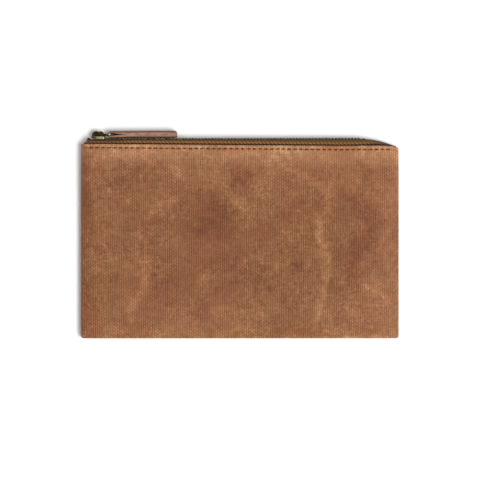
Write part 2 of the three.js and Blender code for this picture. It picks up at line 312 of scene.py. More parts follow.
class Nodes:
    """A material's node tree, with short calls for the nodes used here."""

    def __init__(self, name):
        self.material = bpy.data.materials.new(name)
        self.material.use_nodes = True
        self.tree = self.material.node_tree
        self.tree.nodes.clear()
        self.shader = self.new("ShaderNodeBsdfPrincipled")
        out = self.new("ShaderNodeOutputMaterial")
        self.link(self.shader.outputs[0], out.inputs["Surface"])

    def new(self, kind, **settings):
        n = self.tree.nodes.new(kind)
        for key, value in settings.items():
            setattr(n, key, value)
        return n

    def link(self, a, b):
        self.tree.links.new(a, b)

    def put(self, socket, value):
        if isinstance(value, bpy.types.NodeSocket):
            self.link(value, socket)
        else:
            socket.default_value = value

    def attribute(self, name, vector=False):
        n = self.new("ShaderNodeAttribute", attribute_name=name)
        return n.outputs["Vector" if vector else "Fac"]

    def math(self, operation, a, b=0.0, c=0.0, clamp=False):
        n = self.new("ShaderNodeMath", operation=operation, use_clamp=clamp)
        for socket, value in zip(n.inputs, (a, b, c)):
            self.put(socket, value)
        return n.outputs[0]

    def parts(self, vector):
        n = self.new("ShaderNodeSeparateXYZ")
        self.link(vector, n.inputs[0])
        return n.outputs

    def noise(self, vector, scale, detail=4.0, rough=0.55, stretch=None):
        if stretch:
            m = self.new("ShaderNodeMapping")
            self.link(vector, m.inputs["Vector"])
            m.inputs["Scale"].default_value = stretch
            vector = m.outputs[0]
        n = self.new("ShaderNodeTexNoise")
        self.link(vector, n.inputs["Vector"])
        n.inputs["Scale"].default_value = scale
        n.inputs["Detail"].default_value = detail
        n.inputs["Roughness"].default_value = rough
        return n.outputs["Fac"]

    def cells(self, vector, scale, feature="F1"):
        n = self.new("ShaderNodeTexVoronoi", feature=feature)
        self.link(vector, n.inputs["Vector"])
        n.inputs["Scale"].default_value = scale
        return n.outputs["Distance"]

    def ranged(self, value, a, b, c=0.0, d=1.0, kind="SMOOTHSTEP"):
        n = self.new("ShaderNodeMapRange", interpolation_type=kind)
        self.put(n.inputs["Value"], value)
        for key, v in (("From Min", a), ("From Max", b), ("To Min", c), ("To Max", d)):
            n.inputs[key].default_value = v
        return n.outputs["Result"]

    def mix(self, factor, a, b, blend="MIX"):
        n = self.new("ShaderNodeMix", data_type="RGBA", blend_type=blend)
        n.clamp_factor = True
        self.put(n.inputs["Factor"], factor)
        colours = [s for s in n.inputs if s.type == "RGBA"]
        self.put(colours[0], a)
        self.put(colours[1], b)
        return next(s for s in n.outputs if s.type == "RGBA")

    def bump(self, height, distance_mm, strength=1.0, normal=None):
        n = self.new("ShaderNodeBump")
        n.inputs["Strength"].default_value = strength
        n.inputs["Distance"].default_value = distance_mm / 1000
        self.link(height, n.inputs["Height"])
        if normal:
            self.link(normal, n.inputs["Normal"])
        return n.outputs["Normal"]

    def set(self, **values):
        for key, value in values.items():
            self.put(self.shader.inputs[key.replace("_", " ")], value)


def weave(n, p, rib, pick, irregular=0.25):
    """Height of a ribbed plain weave: ribs run along y, and each goes over every other pick."""
    x, y, _ = n.parts(p)
    stray = n.math("MULTIPLY", n.math("SUBTRACT", n.noise(p, 0.16, 3), 0.5), irregular * 4)
    fx = n.math("DIVIDE", n.math("ADD", x, stray), rib)
    cell = n.math("FLOOR", fx)
    round_ = n.math("SINE", n.math("MULTIPLY", n.math("SUBTRACT", fx, cell), math.pi))
    odd = n.math("MULTIPLY", n.math("MODULO", n.math("ABSOLUTE", cell), 2.0), math.pi)
    wave = n.math("COSINE", n.math("ADD", n.math("MULTIPLY", n.math("ADD", y, stray), 2 * math.pi / pick), odd))
    over = n.math("MULTIPLY_ADD", wave, 0.25, 0.75)
    return n.math("MULTIPLY", round_, over), round_


def canvas_material():
    n = Nodes("waxed_canvas")
    p = n.attribute("rest", vector=True)
    height, rib = weave(n, p, 1.57, 2.25)
    rub, dark, hemmed = n.attribute("rub"), n.attribute("dark"), n.attribute("hemmed")
    # the ribs show in some places and are rubbed or waxed out in others
    shows = n.ranged(n.noise(p, 0.085, 3, 0.6), 0.38, 0.62, 0.12, 1.0)
    checks = n.ranged(n.noise(p, 0.11, 2, 0.6, stretch=(1.3, 0.8, 1.0)), 0.44, 0.60)
    mottle = n.noise(p, 0.055, 4, 0.55)
    blotch = n.noise(p, 0.19, 5, 0.62)
    fleck = n.noise(p, 0.46, 4, 0.85, stretch=(1.0, 0.8, 1.0))
    speck = n.noise(p, 1.25, 2, 0.7)
    slub = n.noise(p, 0.95, 2, 0.5, stretch=(1.0, 0.16, 1.0))
    weft = n.noise(p, 0.60, 2, 0.6, stretch=(0.22, 1.0, 1.0))
    tone = n.math("MULTIPLY_ADD", n.math("SUBTRACT", mottle, 0.5), 0.44, 0.5)
    grainy = n.ranged(n.noise(p, 0.036, 2), 0.40, 0.60, 0.66, 1.14)
    tone = n.math("ADD", tone, n.math("MULTIPLY", n.math("SUBTRACT", blotch, 0.5), 0.34))
    for value, amount in ((fleck, 0.92), (speck, 0.52), (slub, 0.30), (weft, 0.34)):
        tone = n.math("ADD", tone, n.math("MULTIPLY", n.math("MULTIPLY", n.math("SUBTRACT", value, 0.5), amount), grainy))
    ribs = n.math("MULTIPLY", n.math("SUBTRACT", rib, 0.64), n.math("MULTIPLY", shows, n.math("SUBTRACT", 1.25, checks)))
    over = n.math("MULTIPLY", n.math("SUBTRACT", height, 0.48), n.math("MULTIPLY_ADD", checks, 0.85, 0.3))
    # the fold presses them flatter along the hem
    pressed = n.math("MULTIPLY_ADD", hemmed, -0.5, 1.0)
    tone = n.math("ADD", tone, n.math("MULTIPLY", pressed, n.math("ADD", n.math("MULTIPLY", ribs, 0.21), n.math("MULTIPLY", over, 0.33))))
    # lighter where rubbed and darker in waxy patches; these also carry painted light along the bottom and one side
    # edge, and painted shade along the other side edge and in the stitch furrow
    tone = n.math("ADD", tone, n.math("MULTIPLY", rub, 0.38))
    tone = n.math("SUBTRACT", tone, n.math("MULTIPLY", dark, 0.31))
    tone = n.math("ADD", tone, n.math("MULTIPLY", hemmed, 0.30), clamp=True)
    ramp = n.new("ShaderNodeValToRGB")
    n.link(tone, ramp.inputs[0])
    stops = ramp.color_ramp.elements
    stops[0].position, stops[0].color = 0.0, srgb(82, 32, 2)
    stops[1].position, stops[1].color = 1.0, srgb(196, 148, 106)
    for at, colour in ((0.28, srgb(109, 58, 17)), (0.5, srgb(129, 81, 46)), (0.74, srgb(155, 106, 70))):
        e = stops.new(at)
        e.color = colour
    # patches lean to red and to olive, as wax and dye do
    lean = n.ranged(n.noise(p, 0.045, 4), 0.38, 0.62)
    colour = n.mix(lean, n.mix(0.06, ramp.outputs[0], srgb(150, 68, 46)), n.mix(0.07, ramp.outputs[0], srgb(112, 94, 46)))
    colour = n.mix(n.math("MULTIPLY", n.attribute("inside"), 0.55), colour, srgb(128, 92, 66))
    rough = n.math("ADD", n.math("MULTIPLY", mottle, 0.24), n.math("MULTIPLY", rub, 0.16))
    rough = n.math("ADD", n.math("MULTIPLY_ADD", fleck, 0.16, 0.38), rough, clamp=True)
    fine = n.bump(height, 0.30, 0.8)
    rumple = n.bump(n.noise(p, 0.33, 5, 0.6), 0.5, 0.4, fine)
    n.set(Base_Color=colour, Roughness=rough, Normal=rumple)
    n.shader.inputs["Specular IOR Level"].default_value = 0.32
    n.shader.inputs["Sheen Weight"].default_value = 0.14
    n.shader.inputs["Sheen Roughness"].default_value = 0.45
    n.shader.inputs["Sheen Tint"].default_value = srgb(206, 160, 122)
    return n.material


def lining_material():
    n = Nodes("cotton_lining")
    p = n.attribute("rest", vector=True)
    height, rib = weave(n, p, 0.62, 0.58, 0.12)
    tone = n.math("ADD", n.math("MULTIPLY", n.noise(p, 0.9, 4), 0.6), n.math("MULTIPLY", rib, 0.3), clamp=True)
    colour = n.mix(tone, srgb(132, 104, 76), srgb(206, 180, 146))
    n.set(Base_Color=colour, Roughness=n.ranged(tone, 0, 1, 0.95, 0.8), Normal=n.bump(height, 0.2, 0.8))
    n.shader.inputs["Sheen Weight"].default_value = 0.2
    n.shader.inputs["Sheen Roughness"].default_value = 0.6
    return n.material


def thread_material(name, low, high, pitch=0.55, sheen=0.15, level=0.5):
    n = Nodes(name)
    p = n.attribute("rest", vector=True)
    x, y, z = n.parts(p)
    twist = n.math("SINE", n.math("MULTIPLY", n.math("ADD", x, n.math("MULTIPLY", n.math("ADD", y, z), 0.8)), 2 * math.pi / pitch))
    tone = n.math("ADD", n.math("MULTIPLY_ADD", twist, 0.22, 0.22), n.math("MULTIPLY", n.noise(p, 1.4, 3), 0.6), clamp=True)
    n.set(Base_Color=n.mix(tone, low, high), Roughness=n.ranged(tone, 0, 1, 0.42, 0.66), Normal=n.bump(twist, 0.12, 0.8))
    n.shader.inputs["Sheen Weight"].default_value = sheen
    n.shader.inputs["Specular IOR Level"].default_value = level
    return n.material


def tape_material():
    n = Nodes("zip_tape")
    p = n.attribute("rest", vector=True)
    x, y, z = n.parts(p)
    up, band = n.attribute("up"), n.attribute("band")
    slant = n.math("ADD", x, n.math("MULTIPLY", up, 1.15))
    stray = n.math("MULTIPLY", n.math("SUBTRACT", n.noise(p, 0.35, 2), 0.5), 1.6)
    wave = n.math("COSINE", n.math("MULTIPLY", n.math("ADD", slant, stray), 2 * math.pi / 2.77))
    fine = n.math("SINE", n.math("MULTIPLY", n.math("SUBTRACT", x, y), 2 * math.pi / 0.62))
    ply = n.math("SINE", n.math("MULTIPLY", n.math("SUBTRACT", x, n.math("MULTIPLY", up, 0.9)), 2 * math.pi / 0.46))
    grain = n.noise(p, 1.3, 4, 0.7)
    olive = n.mix(grain, srgb(60, 41, 18), srgb(112, 82, 42))
    low = n.mix(grain, srgb(92, 55, 26), srgb(120, 76, 39))
    high = n.mix(grain, srgb(141, 98, 55), srgb(175, 126, 77))
    ropes = n.mix(n.ranged(wave, -0.55, 0.75), low, high)
    ropes = n.mix(n.math("MULTIPLY_ADD", ply, 0.12, 0.12), ropes, srgb(70, 36, 18))
    colour = n.mix(band, n.mix(n.math("MULTIPLY_ADD", fine, 0.12, 0.12), olive, srgb(50, 32, 16)), ropes)
    # painted shadow: a dark line where the tape goes in under the hem's fold
    line = n.math("MULTIPLY", n.attribute("line"), n.math("MULTIPLY_ADD", wave, -0.10, 0.90))
    colour = n.mix(line, colour, srgb(26, 9, 5))
    height = n.math("ADD", n.math("MULTIPLY", n.math("MULTIPLY", ply, band), 0.6), n.math("MULTIPLY", fine, 0.5))
    n.set(Base_Color=colour, Roughness=n.ranged(grain, 0.3, 0.7, 0.9, 0.7), Normal=n.bump(height, 0.14, 0.7))
    n.shader.inputs["Sheen Weight"].default_value = 0.05
    n.shader.inputs["Specular IOR Level"].default_value = 0.28
    return n.material


def brass_material(name="antique_brass", bright=1.0):
    n = Nodes(name)
    p = n.attribute("rest", vector=True)
    wear_and_highlight, hollow_patina_and_shade = n.attribute("wear_and_highlight"), n.attribute("hollow_patina_and_shade")
    patina = n.noise(p, 0.75, 5, 0.65)
    spots = n.noise(p, 2.6, 4, 0.6)
    worn_ = n.math("ADD", n.math("MULTIPLY", wear_and_highlight, 1.15 * bright), n.math("MULTIPLY", n.math("SUBTRACT", patina, 0.5), 1.3))
    worn_ = n.ranged(n.math("SUBTRACT", worn_, n.math("MULTIPLY", hollow_patina_and_shade, 0.9)), 0.02, 0.95)
    dark = n.mix(spots, srgb(24, 19, 13), srgb(70, 57, 36))
    gold = n.mix(patina, srgb(150, 130, 86), srgb(228, 212, 168))
    colour = n.mix(worn_, dark, gold)
    rough = n.math("MULTIPLY_ADD", n.math("SUBTRACT", 1.0, worn_), 0.30, 0.24)
    rough = n.math("ADD", rough, n.math("MULTIPLY", n.math("SUBTRACT", spots, 0.5), 0.16), clamp=True)
    scratch = n.noise(p, 1.6, 3, 0.5, stretch=(0.35, 4.0, 4.0))
    height = n.math("ADD", n.math("MULTIPLY", patina, 0.7), n.math("MULTIPLY", scratch, 0.3))
    n.set(Base_Color=colour, Roughness=rough, Normal=n.bump(height, 0.05, 0.6))
    n.shader.inputs["Metallic"].default_value = 1.0
    return n.material


def leather_material():
    n = Nodes("leather")
    p = n.attribute("rest", vector=True)
    x, y, z = n.parts(p)
    cut = n.attribute("cut")
    pores = n.cells(p, 2.4)
    crease = n.cells(p, 0.9, "DISTANCE_TO_EDGE")
    grain = n.ranged(crease, 0.0, 0.22)
    blotch = n.noise(p, 0.28, 5, 0.6)
    fibre = n.noise(p, 1.3, 5, 0.65, stretch=(0.22, 2.2, 1.0))
    face = n.mix(blotch, srgb(70, 43, 28), srgb(112, 72, 48))
    face = n.mix(n.math("MULTIPLY", n.math("SUBTRACT", 1.0, grain), 0.45), face, srgb(84, 50, 34))
    edge = n.mix(fibre, srgb(98, 62, 44), srgb(166, 120, 94))
    edge = n.mix(n.math("MULTIPLY", n.ranged(blotch, 0.55, 0.7), 0.35), edge, srgb(122, 80, 62))
    colour = n.mix(cut, face, edge)
    # the cut sides are burnished; their pale middle is a painted highlight and their dark rims painted shade, where the
    # rounded side turns away
    rims = n.math("MULTIPLY", n.math("MULTIPLY", n.attribute("rim"), cut), 0.72)
    colour = n.mix(rims, colour, srgb(80, 48, 32))
    middle_highlight = n.math("MULTIPLY", n.math("SUBTRACT", 1.0, n.attribute("rim")), n.math("MULTIPLY", cut, n.ranged(n.noise(p, 0.42, 4, 0.6, stretch=(0.6, 1.6, 1.0)), 0.40, 0.62, 0.0, 0.42)))
    colour = n.mix(middle_highlight, colour, srgb(206, 158, 132))
    # painted shade on the inner faces of the fork
    colour = n.mix(n.math("MULTIPLY", n.attribute("crevice"), 0.9), colour, srgb(34, 19, 13))
    height = n.math("ADD", n.math("MULTIPLY", grain, 0.6), n.math("MULTIPLY", pores, 0.5))
    height = n.math("ADD", n.math("MULTIPLY", height, n.math("SUBTRACT", 1.0, cut)), n.math("MULTIPLY", n.math("MULTIPLY", fibre, cut), 0.8))
    n.set(Base_Color=colour, Roughness=n.ranged(blotch, 0.3, 0.7, 0.58, 0.40), Normal=n.bump(height, 0.12, 0.7))
    n.shader.inputs["Specular IOR Level"].default_value = 0.4
    n.shader.inputs["Coat Weight"].default_value = 0.08
    return n.material


CANVAS_M = canvas_material()
LINING_M = lining_material()
TOPTHREAD_M = thread_material("topstitch_thread", srgb(48, 16, 2), srgb(98, 48, 14), sheen=0.0, level=0.18)
SEAMTHREAD_M = thread_material("seam_thread", srgb(120, 78, 48), srgb(178, 128, 84))
TAPE_M = tape_material()
BRASS_M = brass_material()
TEETH_M = brass_material("tooth_brass", 0.45)
STOP_M = brass_material("stop_brass", 0.15)
LEATHER_M = leather_material()


def dress(obj, material, body, slot, *nodes):
    obj.data.materials.clear()
    obj.data.materials.append(material)
    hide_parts(*nodes)
    if body == "mouth":
        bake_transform(obj)
    else:
        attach(obj, body)
    return obj


# ---- camera, light and floor --------------------------------------------
camera = bpy.data.objects.new("camera", bpy.data.cameras.new("camera"))
camera.data.lens, camera.data.sensor_width = 100, 36
camera.location = (0.0002, 0.0013, 0.9655)
scene.collection.objects.link(camera)
scene.camera = camera
scene.view_settings.view_transform = "Standard"
scene.view_settings.look = "None"

world = bpy.data.worlds.new("studio")
scene.world = world
world.use_nodes = True
tree = world.node_tree
# a soft box of light, brighter towards the horizon
place = tree.nodes.new("ShaderNodeTexCoord")
apart = tree.nodes.new("ShaderNodeSeparateXYZ")
sky = tree.nodes.new("ShaderNodeMapRange")
tree.links.new(place.outputs["Generated"], apart.inputs[0])
tree.links.new(apart.outputs["Z"], sky.inputs["Value"])
for key, value in (("From Min", 0.04), ("From Max", 0.40), ("To Min", 0.84), ("To Max", 0.47)):
    sky.inputs[key].default_value = value
tree.links.new(sky.outputs["Result"], tree.nodes["Background"].inputs["Strength"])
tree.nodes["Background"].inputs["Color"].default_value = (1, 1, 1, 1)


def lamp(name, at, size, watts, towards=(0, 0, 0), colour=(1, 1, 1)):
    light = bpy.data.lights.new(name, "AREA")
    light.shape, light.size, light.energy, light.color = "DISK", size, watts, colour
    obj = bpy.data.objects.new(name, light)
    obj.location = at
    obj.rotation_mode = "QUATERNION"
    obj.rotation_quaternion = (Vector(towards) - Vector(at)).to_track_quat("-Z", "Y")
    scene.collection.objects.link(obj)


lamp("key", (0.58, -0.30, 1.5), 0.68, 24.2, colour=(1.0, 0.99, 0.975))
lamp("fill", (-0.7, 0.5, 1.0), 0.9, 1.2, colour=(0.97, 0.985, 1.0))

floor = piece("floor", [(-4000, -4000, -0.3), (4000, -4000, -0.3), (4000, 4000, -0.3), (-4000, 4000, -0.3)], [(0, 1, 2, 3)])
n = Nodes("floor")
g = n.noise(n.attribute("rest", vector=True), 0.01, 2)
n.set(Base_Color=n.mix(g, (0.86, 0.86, 0.86, 1), (0.88, 0.88, 0.88, 1)))
n.shader.inputs["Roughness"].default_value = 0.8
floor.data.materials.append(n.material)


# ---- panels --------------------------------------------------------------
def spacing(edge, step, end, fine):
    """Distances from an edge: the fine ones first, then even steps to the end."""
    out = list(fine)
    while out[-1] + step * 1.3 < end:
        out.append(out[-1] + step)
    return np.array(out)


EDGE = [0, 0.04, 0.14, 0.3, 0.5, 0.72, 1.0, 1.5, 2.1, 2.8]


def panel_columns(half, step=STITCH / 4):
    inner = np.arange(-math.floor((half - 3.6) / step), math.floor((half - 3.6) / step) + 1) * step
    near = half - np.array(EDGE)
    near = near[near > inner[-1] + 0.3]
    return np.concatenate([-near, inner, near[::-1]])


def panel_rows(height):
    low = np.array(EDGE + [3.7, 4.8])
    hem_in = np.array([0, 0.05, 0.16, 0.34, 0.58, 0.9, 1.25, 1.6, 1.9, 2.15, 2.4, 2.6, 2.75, 2.9, 3.1, 3.35, 3.7, 4.2, 4.9, 5.8, 6.8, 7.9, 9, 10.1, 11.1, 11.8, 12.2, 12.7, 13.4])
    mid = np.linspace(low[-1], height - hem_in[-1], int((height - hem_in[-1] - low[-1]) / 1.15) + 1)[1:-1]
    return np.concatenate([low, mid, height - hem_in[::-1]])


def edge_round(d, r):
    return np.sqrt(np.clip(1 - (1 - np.clip(d / r, 0, 1)) ** 2, 0, 1))


def surface(x, y, seed):
    """The smooth outer height of a panel over the seam's plane, creases and puckers included."""
    ds, db, dt = HALF - np.abs(x), y - BOTTOM, hem(x) - y
    run = 24 + (6 - 24) * smooth(y, 0, 48)
    side, foot = rise(ds, run), rise(db, 24)
    h = RIM + (BELLY - RIM) * side * foot
    inner = smooth(ds, 0.5, 12) * smooth(db, 0.5, 12) * smooth(dt, 4, 16)
    h = h - 0.85 * inner * (0.5 + 0.5 * layers(x, y, 40, seed, 2))
    h = h - 0.22 * inner * (0.5 + 0.5 * layers(x, y, 15, seed + 20, 3))
    # puckers that run in from the sewn edges
    for d, t, s in ((ds, y, 31), (db, x, 32)):
        wave = field(t, 0 * t, 5.5, seed + s) + 0.5 * field(t, 0 * t, 2.6, seed + s + 5)
        h = h + 0.30 * wave * np.exp(-((d - 2.0) / 6.5) ** 2) * smooth(d, 0, 1.5) * smooth(dt, 1, 8)
    return h


CREASES = [  # light rubbed folds in the wax: points and width
    ([(54.2, 22), (60.2, -4), (64.6, -13.5), (58.6, -37), (54.2, -62)], 4.2, 1.0),
    ([(80.6, -26.5), (103, -37), (111.8, -48.8)], 2.4, 0.8),
    ([(-71.8, 7.4), (-76.2, -7.4), (-67.5, -16), (-70.4, -37), (-79, -48.8), (-76, -62)], 5.5, 0.75),
    ([(-29, -25.2), (-21.3, -29.7)], 5.0, 0.6),
    ([(-58, -5), (-55.5, -22), (-60, -34)], 2.6, 0.4),
    ([(-50.8, 55), (-42, 46)], 4.5, 0.8),
    ([(-46, 30), (-58, 26), (-64, 18)], 3.0, 0.5),
    ([(-5, 31), (2.2, 22.2)], 5.0, 0.55),
    ([(42, 52), (61.7, 37), (66, 20)], 4.0, 0.55),
    ([(37.7, 24.6), (46.8, 21)], 2.0, 0.8),
    ([(-20, -47), (-10, -50)], 6.0, 0.45),
    ([(-100, -58), (-86, -66)], 4.0, 0.5),
    ([(70, -43), (83, -50)], 2.0, 0.5),
    ([(77, 52), (84, 30), (95, 8)], 3.0, 0.35),
    ([(-105, 50), (-103, -30)], 4.0, 0.25),
    ([(20, -2), (34, -30)], 3.0, 0.25),
]
SHADES = [  # darker, waxier patches
    ([(-30, 36), (-14, 18), (-36, 6)], 20.0, 0.8),
    ([(76, 34), (96, 12), (78, -16), (88, -30)], 15.0, 0.75),
    ([(10, 48), (-8, 40)], 14.0, 0.5),
    ([(-86, 40), (-60, 42)], 12.0, 0.4),
    ([(-96, -22), (-84, -34)], 12.0, 0.5),
    ([(40, -8), (44, -24)], 12.0, 0.4),
    ([(-30, -50), (-18, -44)], 10.0, 0.5),
    ([(88, 60), (92, 40)], 6.0, 0.6),
    ([(66, -52), (72, -62)], 7.0, 0.5),
]


def make_panel(name, side, seed):
    cols = panel_columns(HALF)
    rows = panel_rows(TALL)
    gx, gr = np.meshgrid(cols, rows)
    height = hem(gx) - BOTTOM
    y = BOTTOM + gr * height / TALL
    ds, db, dt = HALF - np.abs(gx), y - BOTTOM, hem(gx) - y
    h = surface(gx, y, seed)
    # the end of the folded allowance prints through
    h = h + 0.16 * smooth(dt, 13.2, 11.4) * smooth(dt, 3.5, 6) * smooth(ds, 0.8, 6)
    # the sewn line: a furrow, deepest at each needle hole, and the roll above it
    phase = np.cos(2 * np.pi * gx / STITCH)
    ends = smooth(ds, 0.6, 3.0)
    h = h - ends * np.exp(-((dt - STITCH_IN) / 0.62) ** 2) * (0.30 - 0.20 * phase)
    h = h + 0.10 * ends * phase * np.exp(-((dt - STITCH_IN) / 2.6) ** 2)
    h = h + 0.12 * ends * np.exp(-((dt - 1.3) / 0.7) ** 2)
    h = h + 0.05 * ends * layers(gx, y, 7, seed + 60, 2) * smooth(dt, 6, 0)
    thick = CANVAS + (HEM_T - CANVAS) * smooth(dt, 12.7, 11.9)
    r = np.where(dt < 3, 0.95, 0.8)
    ring = edge_round(ds, 0.8) * edge_round(db, 0.8) * edge_round(dt, 0.95)
    outer = h - thick / 2 + thick / 2 * ring
    # rounded corners
    x = gx.copy()
    for at, radius in (((-1, 0), 2.0), ((1, 0), 2.0), ((1, 1), 2.2), ((-1, 1), 0.5)):
        d_edge = db if at[1] == 0 else dt
        here = np.sign(gx) == at[0]
        q = np.clip(1 - d_edge / radius, 0, 1)
        pull = radius * (1 - np.sqrt(1 - q**2)) * np.clip(1 - ds / 14, 0, 1)
        x = np.where(here, x - at[0] * pull, x)
    mirror = 1 if side > 0 else -1
    fx = gx * mirror
    rub = np.zeros_like(gx)
    dark = np.zeros_like(gx)
    if side > 0:
        wob = 2.0 * field(fx, y, 9, 7), 2.0 * field(fx, y, 9, 8)
        for line, width, amount in CREASES:
            rub = np.maximum(rub, 0.62 * amount * near_line(fx + wob[0], y + wob[1], line, width * 1.35))
        for line, width, amount in SHADES:
            dark = np.maximum(dark, amount * near_line(fx + 2 * wob[0], y + 2 * wob[1], line, width))
    ridge = 1 - np.abs(layers(fx, y, 30, seed + 90, 4, 0.6))
    rub = np.maximum(rub, smooth(ridge, 0.90, 1.0) * (0.25 if side > 0 else 0.5) * smooth(layers(fx, y, 40, seed + 95, 1), -0.3, 0.6))
    dark = np.maximum(dark, smooth(layers(fx, y, 34, seed + 99, 3), 0.1, 0.9) * 0.42)
    dark = dark * 0.8 + 0.36 * smooth(ds, 8, 46) * smooth(db, 4, 46) * smooth(dt, 8, 70)
    # rubbed lighter along the sewn edges, with painted light on top: the bottom edge and the side edge at positive fx
    # are lighter still
    worn_rim = 0.42 * smooth(np.minimum(ds + 3 * (fx < 0), db), 2.2, 0.2) + 0.30 * smooth(db, 11, 1.5)
    rub = np.clip(rub + worn_rim * (0.6 + 0.4 * field(gx, y, 6, 3)), 0, 1)
    # painted shade along the side edge at negative fx, which turns away from the lamp
    dark = dark + 0.34 * smooth(fx, -96, -HALF + 2)
    # painted shade in the furrow under each stitch
    dark = np.clip(dark + 0.62 * ends * np.exp(-((dt - STITCH_IN) / 0.34) ** 2) * (0.5 - 0.5 * phase), 0, 1)
    outer = outer + 0.34 * rub * smooth(ds, 2, 6) * smooth(db, 2, 6) * smooth(dt, 5, 8) * (1 if side > 0 else 0)
    hemmed = smooth(dt, 17, 4) * 0.8 + 0.2 * smooth(dt, 3.2, 1.4)
    if side < 0:
        outer = np.minimum(outer, BELLY)
    obj = double_sheet(name, x, y, outer, thick * ring, side, rub=rub, dark=dark, hemmed=hemmed)
    return obj


front = make_panel("canvas_front_panel", 1, 100)
dress(front, CANVAS_M, "mouth", "waxed_canvas", "front_panel")
back = make_panel("canvas_back_panel", -1, 500)
dress(back, CANVAS_M, "back_half", "waxed_canvas", "back_panel")


# ---- lining --------------------------------------------------------------
def make_lining(name, side, seed):
    half, low = HALF - 3.2, BOTTOM + 3.2
    cols = np.concatenate([-half + np.array([0, 0.1, 0.3, 0.8]), np.arange(-109, 109.5, 2.0), half - np.array([0.8, 0.3, 0.1, 0])])
    top = TALL - 3.2 - 4.4
    rows = np.concatenate([[0, 0.1, 0.3, 0.8], np.arange(2, top - 1, 1.9), [top - 0.8, top - 0.3, top - 0.1, top]])
    gx, gr = np.meshgrid(cols, rows)
    y = low + gr * (hem(gx) - 4.4 - low) / top
    dt = hem(gx) - y
    under = CANVAS + 0.28 + (HEM_T + 0.15 + 0.6 + 0.22 - CANVAS - 0.28) * smooth(dt, 14.6, 12.6)
    h = surface(gx, y, 100 if side > 0 else 500) - 0.1 - under
    d = np.minimum(np.minimum(half - np.abs(gx), y - low), dt - 4.4)
    h = h - 0.5 * smooth(d, 2, 16) * (0.5 + 0.5 * layers(gx, y, 24, seed, 3)) - 0.16 * (0.5 + 0.5 * layers(gx, y, 8, seed + 7, 2))
    h = np.maximum(h, 0.12)
    return double_sheet(name, gx, y, h, LINING * edge_round(d, 0.4), side)


dress(make_lining("cotton_front_lining", 1, 41), LINING_M, "mouth", "cotton_lining", "front_lining")
dress(make_lining("cotton_back_lining", -1, 42), LINING_M, "back_half", "cotton_lining", "back_lining")


# ---- topstitching and the seam's stitches ---------------------------------
def capsule(line, radii, sides=8):
    """A thread along a line that tapers with radii, closed at both ends."""
    line = np.asarray(line, float)
    t = np.gradient(line, axis=0)
    t /= np.linalg.norm(t, axis=1)[:, None]
    up = np.array([0, 0, 1.0]) if abs(t[:, 2]).mean() < 0.8 else np.array([0, 1.0, 0])
    a = np.cross(up, t)
    a /= np.linalg.norm(a, axis=1)[:, None]
    b = np.cross(t, a)
    k = np.arange(sides) * 2 * np.pi / sides
    rings = line[:, None] + np.asarray(radii)[:, None, None] * (np.cos(k)[None, :, None] * a[:, None] + np.sin(k)[None, :, None] * b[:, None])
    return tube(line, rings)


def outer_at(x, y, side):
    return surface(np.array([x], float), np.array([y], float), 100 if side > 0 else 500)[0]


def make_topstitch(name, side):
    rng = np.random.default_rng(11 if side > 0 else 12)
    parts = []
    count = int((HALF - 2.2) / STITCH)
    for k in range(-count, count):
        # a stitch runs from one needle hole to the next, a little askew
        t = np.linspace(-1, 1, 11)
        reach = 0.40 + rng.uniform(-0.05, 0.04)
        x = (k + 0.5) * STITCH + t * STITCH * reach
        skew = 0.10 + rng.normal(0, 0.05)
        y = hem(x) - STITCH_IN + skew * t + rng.normal(0, 0.04)
        base = surface(x, y, 100 if side > 0 else 500)
        top = base - 0.30 + 0.26 * (1 - t**4) - 0.55 * np.clip(np.abs(t) - 0.72, 0, 1) * 3
        r = 0.30 * np.sqrt(np.clip(1 - (np.abs(t) / 1.02) ** 6, 0.02, 1))
        parts.append(capsule(np.stack([x, y, MID + side * top], -1), r))
    points, faces = join_parts(parts)
    return turned_out(piece(name, points, faces))


dress(make_topstitch("topstitches_front", 1), TOPTHREAD_M, "mouth", "thread", "topstitch_front")
dress(make_topstitch("topstitches_back", -1), TOPTHREAD_M, "back_half", "thread", "topstitch_back")


def make_seam():
    """The seam's stitches, seen in the nip between the two panels."""
    rng = np.random.default_rng(5)
    inset, parts = 0.75, []
    stations = [(-HALF + inset, y, 0, 1) for y in np.arange(66, BOTTOM + 3, -3.1)]
    stations += [(x, BOTTOM + inset, 1, 0) for x in np.arange(-HALF + 4, HALF - 3, 3.1)]
    stations += [(HALF - inset, y, 0, 1) for y in np.arange(BOTTOM + 4, 66, 3.1)]
    for x, y, along_x, along_y in stations:
        t = np.linspace(-1, 1, 7)
        lean = 0.35 + rng.normal(0, 0.04)
        line = np.stack([x + along_x * lean * t, y + along_y * lean * t, MID + 0.75 * t], -1)
        parts.append(capsule(line, 0.2 * np.sqrt(np.clip(1 - np.abs(t) ** 6, 0.05, 1)), 6))
    points, faces = join_parts(parts)
    return turned_out(piece("seam_stitches", points, faces))


dress(make_seam(), SEAMTHREAD_M, "back_half", "thread", "seam_stitching")


# ---- zip tapes -----------------------------------------------------------
STAND_X = [-112.3, -111.3, -110.5, -109.6, 88, 90.8, 94.8, 99, 103.5, 106, 108, 110.2, 112.3]
STAND_BY = [0.06, 0.3, 0.68, 1, 1, 1.0, 0.95, 0.79, 0.55, 0.39, 0.25, 0.11, 0.06]


